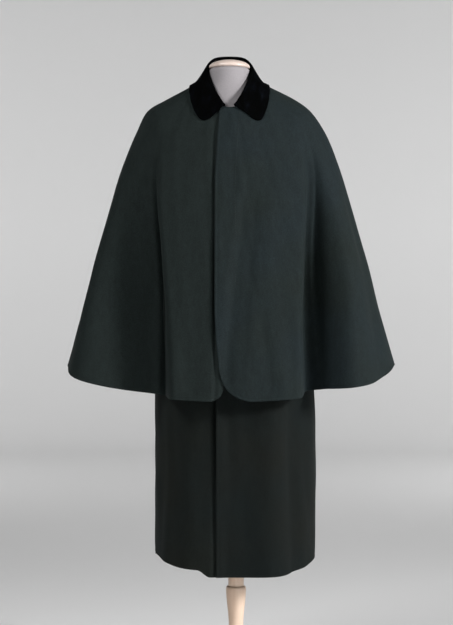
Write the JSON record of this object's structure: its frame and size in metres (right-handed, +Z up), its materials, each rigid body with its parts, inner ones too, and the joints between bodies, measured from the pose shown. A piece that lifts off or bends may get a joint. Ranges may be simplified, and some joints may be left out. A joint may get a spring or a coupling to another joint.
{
  "type": "evening cloak on a dress form stand",
  "caption": "Long dark wool evening cloak with a hip-length cape and a velvet turn-down collar, on a limbless dress form with a wooden neck cap and a turned wooden stand.",
  "frame": {"origin": "middle of the round base's underside, on the floor", "axes": "+Z up, +X to the wearer's left, the front faces -Y"},
  "size_m": [0.8222, 0.4263, 1.6049],
  "materials": {
    "wool": "milled wool, matt",
    "velvet": "velvet",
    "form_cloth": "woven jersey over a hard shell",
    "cap_wood": "satin",
    "pole_wood": "satin"
  },
  "bodies": {
    "root": {"form_torso": "form_cloth", "neck_cap": "cap_wood", "stand_shaft": "pole_wood", "stand_column": "pole_wood", "stand_base": "pole_wood", "coat_front_left": "wool", "coat_front_right": "wool", "coat_back": "wool", "cape_left": "wool", "cape_right": "wool", "collar": "velvet"}
  },
  "joints": []
}
